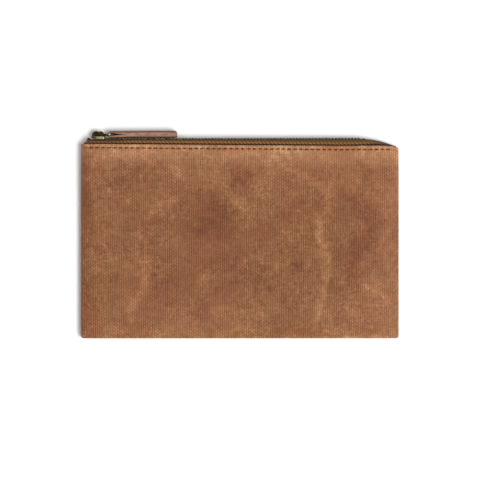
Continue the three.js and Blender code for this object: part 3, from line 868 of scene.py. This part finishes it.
def make_tape(name, side, seed):
    cols = np.arange(-112.6, 112.61, 0.42)
    e = np.interp(cols, STAND_X, STAND_BY)
    kernel = np.ones(5) / 5
    e = np.convolve(np.pad(e, 2, "edge"), kernel, "valid")
    # the outer line of the tape's section: share of the way from hem to chain, and height
    s_low = [(-10.5, 0), (-8, 0), (-5, 0), (-2.5, 0), (-1.2, 0), (-0.5, 0)]
    corners = [(-4.3, 3.35), (-4.0, 3.3), (-3.7, 3.42), (-3.4, 3.72), (-3.1, 4.0), (-2.8, 4.18), (-2.5, 4.28), (-2.2, 4.33), (-1.85, 4.34), (-1.45, 4.3),
               (-1.1, 4.2), (-0.8, 4.0), (-0.52, 3.74), (-0.28, 3.46), (-0.06, 3.2), (0.12, 2.95), (0.26, 2.7), (0.32, 2.45), (0.24, 2.25), (0.1, 2.1)]
    s_up = [tuple(q) for q in curve_through(corners, 30)]
    n_row = len(s_low) + len(s_up)
    hx = hem(cols)
    under = surface(cols, hx - 4, 100 if side > 0 else 500) - HEM_T - 0.12
    Y, H = np.zeros((n_row, len(cols))), np.zeros((n_row, len(cols)))
    for i, (dy, _) in enumerate(s_low):
        Y[i], H[i] = hx + dy, under
    for j, (v, w) in enumerate(s_up):
        i = len(s_low) + j
        share = j / (len(s_up) - 1)
        Y[i] = (1 - e) * (hx - 0.7 + 1.1 * share) + e * (chain_y(cols) + v)
        H[i] = (1 - e) * (under - 0.5 - 1.4 * share) + e * w
    close = smooth(cols, 90.8, 95) + smooth(cols, -109.5, -110.7)
    share = (np.arange(n_row) - len(s_low)) / (len(s_up) - 1)
    H = H - close[None] * smooth(share, 0.35, 1)[:, None] * np.maximum(H[-1] - 0.32, 0)[None]
    # normals of the section
    ty, th = np.gradient(Y, axis=0), np.gradient(H, axis=0)
    length = np.hypot(ty, th) + 1e-9
    ny, nh = -th / length, ty / length
    out = np.where((nh * 1 + ny * 1) < -0.6, -1, 1)
    # diagonal strands along the tape's lower edge, and a fine rib above them
    rise_ = Y - hx
    gx = np.broadcast_to(cols, Y.shape)
    end = smooth(gx, 86, 100)
    # painted shade under the pull: the upper part of the tape near the closed end is darkened and its strands end lower
    grime = smooth(gx, -76, -90)
    band = smooth(rise_, 0.0, 0.4) * smooth(rise_, 2.9 - 0.7 * grime, 2.0 - 0.7 * grime) * (1 - 0.8 * end)
    # painted shadow along the tape under the hem's fold, wider towards the closed right end
    line = smooth(rise_, 1.45 + 0.5 * end, 0.75)
    line = np.maximum(line, 0.55 * grime * smooth(rise_, 1.7, 2.6))
    strand = 0.5 + 0.5 * np.cos(2 * np.pi * (gx + 1.15 * rise_) / 2.77)
    bump = 0.22 * band * strand + 0.04 * (1 - band) * np.cos(2 * np.pi * gx / 0.84 + 3 * rise_) + 0.03 * field(gx, rise_, 3, seed + 3)
    bump = bump * smooth(rise_, -1.0, 0.2)
    T = 0.5
    taper = edge_round(np.minimum(cols + 112.6, 112.6 - cols), 0.6)
    sec = np.ones(n_row)
    sec[[0, -1]] = 0
    sec[[1, -2]] = 0.8
    half_t = T / 2 * sec[:, None] * taper[None]
    my, mh = Y - ny * T / 2, H - nh * T / 2
    ay, ah = my + ny * (half_t + bump * sec[:, None]), mh + nh * (half_t + bump * sec[:, None])
    by, bh = my - ny * half_t, mh - nh * half_t
    rows, columns = Y.shape
    top = np.stack([gx, ay, MID + side * ah], -1).reshape(-1, 3)
    low = np.stack([gx, by, MID + side * bh], -1).reshape(-1, 3)
    edge = np.zeros((rows, columns), bool)
    edge[[0, -1], :] = True
    edge[:, [0, -1]] = True
    edge = edge.ravel()
    under_i = np.arange(rows * columns)
    under_i[~edge] = rows * columns + np.arange((~edge).sum())
    faces = quads(rows, columns)
    f = np.concatenate([faces if side > 0 else faces[:, ::-1], under_i[faces[:, ::-1] if side > 0 else faces]])
    pts = np.concatenate([top, low[~edge]])
    rest = np.concatenate([np.stack([gx, np.cumsum(length, axis=0) - 6.5, 0 * gx], -1).reshape(-1, 3)] * 2)
    rest = np.concatenate([rest[: rows * columns], rest[: rows * columns][~edge]])
    ex = lambda a: np.concatenate([a.ravel(), a.ravel()[~edge]])
    parts = [(pts, f)]
    # the bead cord inside the tape's edge
    u = np.linspace(-107.2, 87.3, 160)
    k = np.arange(10) * 2 * np.pi / 10
    ring = chain_to_row(u[:, None], 0.42 * np.sin(k)[None], side * (2.74 + 0.42 * np.cos(k)[None]))
    parts.append(tube(u, ring))
    points, fs = join_parts(parts)
    extra = len(points) - len(pts)
    obj = piece(name, points, fs, rest=np.concatenate([rest, points[len(pts):]]),
                up=np.concatenate([ex(rise_), np.ones(extra) * 5]), line=np.concatenate([ex(line), np.zeros(extra)]), band=np.concatenate([ex(band), np.zeros(extra)]))
    return turned_out(obj)


dress(make_tape("herringbone_tape_front", 1, 61), TAPE_M, "mouth", "zip_tape", "zipper_tape_front")
dress(make_tape("herringbone_tape_back", -1, 62), TAPE_M, "back_half", "zip_tape", "zipper_tape_back")


# ---- teeth and stops -----------------------------------------------------
def loft_box(stations, corner=0.16, n=3):
    """A closed bar through stations of (w, half size along u, half size along v, shift along v)."""
    rings, ws = [], []
    for w, a, b, shift in stations:
        o = rounded_box(a, b, corner, n)
        rings.append(np.stack([o[:, 0], o[:, 1] + shift, np.full(len(o), w)], -1))
        ws.append(w)
    return tube(ws, rings)


TOOTH = [(-0.60, 0.20, 0.40, 0), (-0.56, 0.34, 0.62, 0), (-0.42, 0.45, 0.80, 0), (-0.1, 0.50, 0.90, 0), (0.35, 0.50, 0.92, 0), (0.6, 0.44, 0.86, 0),
         (1.0, 0.43, 0.84, 0), (1.5, 0.50, 0.92, 0), (1.95, 0.55, 1.0, 0), (2.12, 0.57, 1.16, 0), (2.3, 0.57, 1.2, 0), (2.8, 0.57, 1.19, 0.01),
         (3.1, 0.57, 1.0, 0.17), (3.35, 0.55, 0.74, 0.38), (3.56, 0.50, 0.56, 0.48), (3.66, 0.38, 0.42, 0.5)]


def make_teeth(name, side):
    rng = np.random.default_rng(21 if side > 0 else 22)
    p, f = loft_box(TOOTH)
    parts = []
    for k in range(TEETH):
        u = FIRST + PITCH * (k + (0 if side > 0 else 0.5))
        q = p.copy()
        lean = rng.normal(0, 0.012)
        uu, vv, ww = q[:, 0] + u + lean * q[:, 2], q[:, 1] + rng.normal(0, 0.02), q[:, 2]
        parts.append((chain_to_row(uu, vv, side * ww), f))
    points, faces = join_parts(parts)
    obj = turned_out(piece(name, points, faces))
    return worn(obj, 0.9, 0)


dress(make_teeth("brass_teeth_front", 1), TEETH_M, "mouth", "antique_brass", "teeth_front")
dress(make_teeth("brass_teeth_back", -1), TEETH_M, "back_half", "antique_brass", "teeth_back")


def stop_mesh(name, w_from, w_to, u_from, u_to, v, side):
    """A soft-edged clamp."""
    um, uh = (u_from + u_to) / 2, (u_to - u_from) / 2
    ws = np.linspace(w_from, w_to, 9)
    t = np.linspace(-1, 1, 9)
    puff = np.sqrt(np.clip(1 - np.abs(t) ** 6 * 0.55, 0, 1))
    rings = []
    for w, q in zip(ws, puff):
        o = rounded_box(uh * q, v * q, 0.35, 4)
        rings.append(chain_to_row(um + o[:, 0], o[:, 1], side * np.full(len(o), w)))
    points, faces = tube(ws, rings)
    return worn(turned_out(piece(name, points, faces)), 1.0, 1)


dress(stop_mesh("clamp_stop_front", 1.6, 3.5, -109.3, -107.6, 1.35, 1), STOP_M, "mouth", "antique_brass", "top_stop_front")
dress(stop_mesh("clamp_stop_back", 1.6, 3.5, -109.3, -107.6, 1.35, -1), STOP_M, "back_half", "antique_brass", "top_stop_back")
dress(stop_mesh("box_stop", -3.5, 3.5, 87.8, 90.0, 0.9, 1), STOP_M, "back_half", "antique_brass", "bottom_stop")


# ---- slider --------------------------------------------------------------
def plate(outline, v_from, v_to, dome=0.0):
    """A flat plate from an outline of (u, w), thick along v."""
    o = np.array(outline, float)
    a = chain_to_row(SLIDER_U + o[:, 0], v_from, o[:, 1])
    b = chain_to_row(SLIDER_U + o[:, 0], v_to, o[:, 1])
    n_ = len(o)
    faces = [list(range(n_)), [n_ + k for k in range(n_)][::-1]]
    faces += [[k, n_ + k, n_ + (k + 1) % n_, (k + 1) % n_] for k in range(n_)]
    return np.concatenate([a, b]), faces


def mirrored(points):
    return points + [(u, -w) for u, w in reversed(points) if abs(w) > 1e-6]


def web(hand, half):
    """Half of the block under the bridge, up to the middle of the ring's bar."""
    arc = [(-0.68 * math.sin(a), RING_V - 0.68 * math.cos(a)) for a in np.linspace(0, math.pi, 13)]
    o = [(-3.7, 2.5), (0.02, 2.5)] + arc + [(0.02, 5.3), (-2.2, 5.1), (-3.2, 4.3), (-3.65, 3.4)]
    o = np.array(o) * (-hand, 1)
    a = chain_to_row(SLIDER_U + o[:, 0], o[:, 1], half)
    b = chain_to_row(SLIDER_U + o[:, 0], o[:, 1], -half)
    n_ = len(o)
    faces = [list(range(n_)), [n_ + k for k in range(n_)][::-1]]
    faces += [[k, n_ + k, n_ + (k + 1) % n_, (k + 1) % n_] for k in range(n_)]
    return np.concatenate([a, b]), faces


L = 5.1
shoulder = curve_through([(-4.6, 1.9), (-4.9, 2.7), (-4.3, 3.9), (-2.8, 4.4), (0.5, 4.25), (3.4, 4.05), (4.6, 3.8), (5.1, 3.0), (5.1, 0.0)], 40)
top_outline = [(-3.7, 0.0), (-3.9, 1.2)] + [tuple(q) for q in shoulder]
low_line = curve_through([(-4.5, 1.6), (-4.7, 2.3), (-4.1, 3.1), (-2.6, 3.35), (1.0, 3.25), (4.0, 3.1), (4.9, 2.6), (5.0, 0.0)], 36)
low_outline = [(-3.7, 0.0), (-3.85, 1.0)] + [tuple(q) for q in low_line]
post = [(-3.8, 0), (-3.3, 0.8), (-2.5, 0.9), (-2.0, 0)]
parts = [
    plate(mirrored(top_outline), 1.5, 2.45),
    plate(mirrored(low_outline), -2.45, -1.5),
    plate(mirrored(post), -2.0, 2.0),
    plate([(-3.0, 3.75), (4.5, 3.75), (4.6, 4.1), (0.5, 4.35), (-2.9, 4.4)], 0.42, 2.0),
    plate([(-2.9, -4.4), (0.5, -4.35), (4.6, -4.1), (4.5, -3.75), (-3.0, -3.75)], 0.42, 2.0),
    # the raised rib that the bridge stands on
    plate(mirrored([(-4.2, 0.0), (-4.0, 1.2), (-3.0, 1.5), (3.0, 1.5), (4.2, 1.2), (4.5, 0.0)]), 2.2, 2.85),
    # and the housing under the bridge, bored for the ring's bar
    web(-1, 0.95),
    web(1, 0.95),
]
points, faces = join_parts(parts)
body = turned_out(piece("cast_slider_body", points, faces))
body = applied(body, ("REMESH", {"mode": "VOXEL", "voxel_size": 0.00013}), ("SMOOTH", {"factor": 0.5, "iterations": 5}), ("DECIMATE", {"ratio": 0.35}))
worn(body, 1.6, 3)
# the flanges are worn bright, partly a painted highlight, and the hollow under the bridge gets painted shade
at = np.array([v.co for v in body.data.vertices]) * 1000
au, av, aw = at[:, 0] - SLIDER_U, at[:, 1] - CHAIN, np.abs(at[:, 2] - MID)
flange_wear_and_highlight = smooth(aw, 3.2, 3.9) * smooth(av, 2.6, 2.2) * smooth(au, -1.5, 1.6)
flange_wear_and_highlight = flange_wear_and_highlight * (0.75 + 0.35 * field(au * 2, av * 2, 2.2, 55))
under = smooth(av, 2.4, 3.0) * smooth(aw, 2.0, 1.0)
for key, change in (("wear_and_highlight", flange_wear_and_highlight * 1.5), ("hollow_patina_and_shade", under)):
    a = body.data.attributes[key]
    value = np.zeros(len(at), np.float32)
    a.data.foreach_get("value", value)
    value = value * (1 - under) + change if key == "wear_and_highlight" else np.maximum(value * (1 - flange_wear_and_highlight.clip(0, 1)), change)
    a.data.foreach_set("value", np.clip(value, 0, 1.2).astype(np.float32))
dress(body, BRASS_M, "slider", "antique_brass", "slider_body")

# the bridge: a strap arched over the ring
arch = curve_through([(-3.75, 2.45), (-3.85, 3.45), (-3.55, 4.6), (-2.5, 5.45), (-0.8, 5.74), (0.8, 5.74), (2.5, 5.45), (3.55, 4.6), (3.85, 3.45), (3.75, 2.45)], 56)
tangent = np.gradient(arch, axis=0)
tangent /= np.linalg.norm(tangent, axis=1)[:, None]
normal = np.stack([-tangent[:, 1], tangent[:, 0]], -1)
rings = []
for k, (c, q) in enumerate(zip(arch, normal)):
    t = abs(2 * k / (len(arch) - 1) - 1)
    half_w = 1.42 - 0.30 * smooth(t, 0.15, 0.75) + 0.35 * smooth(t, 0.86, 1.0)
    half_t = 0.56 + 0.10 * smooth(t, 0.5, 0.0)
    o = rounded_box(half_t, half_w, 0.34, 4)
    crown = 0.16 * (1 - (o[:, 1] / half_w) ** 2) * (o[:, 0] > 0)
    uv = c[None] + (o[:, 0] + crown)[:, None] * q[None]
    rings.append(chain_to_row(SLIDER_U + uv[:, 0], uv[:, 1], o[:, 1]))
points, faces = tube(arch, rings)
bridge = worn(turned_out(piece("arched_bridge", points, faces)), 1.0, 1)
# worn bright along its crown, partly a painted highlight, with painted shade over its half towards the pull and in the
# hollow under it
bu_, bv_ = points[:, 0] - SLIDER_U, points[:, 1] - CHAIN
crown_wear_and_highlight = np.exp(-(((bu_ - 0.4) / 1.5) ** 2)) * smooth(bv_, 5.1, 5.7)
for key, value in (("wear_and_highlight", 0.12 + 1.1 * crown_wear_and_highlight + 0.2 * field(bu_ * 2, points[:, 2], 1.7, 66)), ("hollow_patina_and_shade", 0.75 * (1 - crown_wear_and_highlight) * smooth(bu_, -3.0, 1.0))):
    bridge.data.attributes[key].data.foreach_set("value", np.clip(value, 0, 1.2).astype(np.float32))
dress(bridge, BRASS_M, "slider", "antique_brass", "slider_bridge")

# the ring: wire bent to a rounded rectangle and butted in the middle of its near bar
half_u, half_w, corner = REACH / 2, PULL_W / 2 + 0.35 + 0.65, 1.5
path = []
for k, (su, sw) in enumerate([(1, 1), (-1, 1), (-1, -1), (1, -1)]):
    for j in range(9):
        a = (k + j / 8) * math.pi / 2
        path.append((su * (half_u - corner) + corner * math.cos(a), sw * (half_w - corner) + corner * math.sin(a)))
    nxt = [(1, 1), (-1, 1), (-1, -1), (1, -1)][(k + 1) % 4]
    a = (k + 1) * math.pi / 2
    p0 = np.array(path[-1])
    p1 = np.array((nxt[0] * (half_u - corner) + corner * math.cos(a), nxt[1] * (half_w - corner) + corner * math.sin(a)))
    for s in (0.2, 0.4, 0.6, 0.8):
        path.append(tuple(p0 + (p1 - p0) * s))
path = np.array(path)
tan = np.roll(path, -1, 0) - np.roll(path, 1, 0)
tan /= np.linalg.norm(tan, axis=1)[:, None]
side_ = np.stack([tan[:, 1], -tan[:, 0]], -1)
k = np.arange(16) * 2 * np.pi / 16
rings = []
for c, s in zip(path, side_):
    uw = c[None] + 0.58 * np.cos(k)[:, None] * s[None]
    rings.append(chain_to_row(SLIDER_U + half_u + uw[:, 0], RING_V + 0.58 * np.sin(k), uw[:, 1]))
points, faces = tube(path, rings, closed=True)
ring = piece("wire_ring", points, faces)
turned_out(ring)
worn(ring, 1.0, 1)
rng = np.random.default_rng(3)
# worn bright at the far bar, where the leather rubs, and partly a painted highlight there
far = smooth(points[:, 0] - SLIDER_U, 6.6, 8.6)
wear_and_highlight = np.clip(0.06 + 0.52 * far + 0.16 * field(points[:, 0] * 2, points[:, 2] * 2, 3.0, 77), 0, 1)
ring.data.attributes["wear_and_highlight"].data.foreach_set("value", wear_and_highlight.astype(np.float32))
dress(ring, BRASS_M, "pull_ring", "antique_brass", "pull_ring")


# ---- leather pull --------------------------------------------------------
def slab(half_t, half_w, r_out, r_in):
    """Points round a strap's section: (height over its middle, across), outer face first."""
    def arc(ct, cw, r, a0, a1, n=5):
        return [(ct + r * math.cos(a), cw + r * math.sin(a)) for a in np.linspace(a0, a1, n)]

    q = math.pi / 2
    half = arc(half_t - r_out, half_w - r_out, r_out, 0, q)
    half += [(h, half_w) for h in np.linspace(half_t - r_out, -half_t + r_in, 7)[1:-1]]
    half += arc(-half_t + r_in, half_w - r_in, r_in, q, 2 * q, 3)
    face = [(half_t, w) for w in np.linspace(0, half_w - r_out, 4)[:-1]]
    under = [(-half_t, w) for w in np.linspace(half_w - r_in, 0, 3)[1:]]
    right = face + half + under
    left = [(h, -w) for h, w in right[::-1][1:-1]]
    return np.array(right + left)


def make_pull():
    """One strip folded round the ring's bar, its two layers glued from u = 10 on, and
    thinned where it turns."""
    run = [(PULL_LEN, -0.86, 2.18), (40, -0.86, 2.18), (30, -0.87, 2.18), (20, -0.87, 2.18), (14, -0.87, 2.2), (11, -0.89, 2.2),
           (9, -0.93, 2.16), (7, -1.02, 2.06), (5, -1.13, 1.92), (3, -1.30, 1.7), (1.4, -1.44, 1.48), (0.4, -1.5, 1.38)]
    back_ = [(0.4, 1.72, 1.52), (1.4, 1.70, 1.56), (3, 1.60, 1.74), (5, 1.46, 1.98), (7, 1.37, 2.14), (9, 1.34, 2.22), (11, 1.36, 2.24),
             (14, 1.38, 2.24), (20, 1.4, 2.24), (30, 1.46, 2.26), (40, 1.5, 2.26), (PULL_LEN, 1.5, 2.26)]
    bend = [(1.61 * math.cos(a), 0.11 + 1.61 * math.sin(a), 0) for a in np.linspace(-math.pi / 2, -3 * math.pi / 2, 15)]
    bend = [(u, v, 1.38 + 0.14 * k / 14) for k, (u, v, _) in enumerate(bend)]
    line = np.array(run + bend + back_)
    flat = curve_through(line, 260)
    uv, thick = flat[:, :2], flat[:, 2]
    t = np.gradient(uv, axis=0)
    t /= np.linalg.norm(t, axis=1)[:, None]
    nrm = np.stack([t[:, 1], -t[:, 0]], -1)  # away from the fold's middle
    if ((uv - np.array([4.0, 0.3])) * nrm).sum(1).mean() < 0:
        nrm = -nrm
    rings, cut, crev, rim = [], [], [], []
    end = PULL_LEN - uv[:, 0]
    # how far each layer's flesh side swells to close the fork in the middle of its width
    ru = np.array(run)[::-1]
    bu = np.array(back_)
    low_in = lambda u: np.interp(u, ru[:, 0], ru[:, 1] + ru[:, 2] / 2)
    up_in = lambda u: np.interp(u, bu[:, 0], bu[:, 1] - bu[:, 2] / 2)
    turn = int(np.argmin(uv[:, 0]))
    for i in range(len(uv)):
        T = thick[i]
        upper = i > turn
        q = np.clip(1 - end[i] / 1.7, 0, 1)
        outer = T / 2 - 1.3 * (1 - math.sqrt(max(0.0, 1 - q * q)))
        inner = -T / 2
        e = np.clip(1 - end[i] / 1.6, 0, 1)
        W = PULL_W / 2 - 1.0 * (1 - math.sqrt(max(0.0, 1 - e * e))) + 0.05 * field(np.array([uv[i, 0]]), np.array([3.0 * upper]), 5, 91)[0]
        mid, half_t = (outer + inner) / 2, max((outer - inner) / 2, 0.15)
        o = slab(half_t, W, min(0.62 if upper else 0.42, half_t * 0.8), 0.07)
        # the faces are slightly hollowed and pressed, the cut sides slightly bowed
        crown = 0.07 * (1 - (o[:, 1] / W) ** 2) * np.where(o[:, 0] > 0, 1, 0) * (1 if T > 2 else 0.4)
        bow = 0.05 * (1 - (o[:, 0] / half_t) ** 2) * (np.abs(o[:, 1]) > W - 0.02)
        swell = max(0.0, (up_in(uv[i, 0]) - low_in(uv[i, 0])) / 2 - 0.02) * smooth(uv[i, 0], 0.62, 1.15)
        swell = swell * (1 - smooth(np.abs(o[:, 1]) / W, 0.45, 0.86)) * np.where(o[:, 0] < -half_t * 0.9, 1, 0)
        a = mid + o[:, 0] + crown - swell
        across = o[:, 1] + np.sign(o[:, 1]) * bow
        pos = uv[i][None] + a[:, None] * nrm[i][None]
        rings.append(chain_to_row(SLIDER_U + REACH + pos[:, 0], RING_V + pos[:, 1], across))
        edge = smooth(half_t - o[:, 0], 0.95, 1.6) if upper else smooth(half_t - o[:, 0], 0.15, 0.5)
        cut.append(smooth(np.abs(o[:, 1]), W - 0.4, W - 0.1) * edge)
        fork = smooth(uv[i, 0], 11.0, 7.5)
        # distance from the strip's middle depth, for the painted shade at the cut sides' rims and the painted highlight
        # between them
        depth = np.abs(uv[i, 1] + a * nrm[i][1] - 0.25) / 2.2
        rim.append(smooth(depth, 0.24, 0.78) * (1 if uv[i, 0] > 12 else 0.55))
        # painted shade on the inner faces of the fork, strongest near the ring
        crev.append(smooth(-o[:, 0], half_t * (0.45 + 0.45 * (1 - fork)), half_t) * (0.25 + 0.75 * fork))
    points, faces = tube(uv, rings)
    cut, crev = np.concatenate(cut), np.concatenate(crev)
    m = len(rings[0])
    cut[:m] = cut[-m:] = 1
    obj = piece("folded_leather_pull", points, faces, cut=cut, crevice=crev, rim=np.concatenate(rim))
    return turned_out(obj)


dress(make_pull(), LEATHER_M, "leather_pull", "leather", "leather_pull")
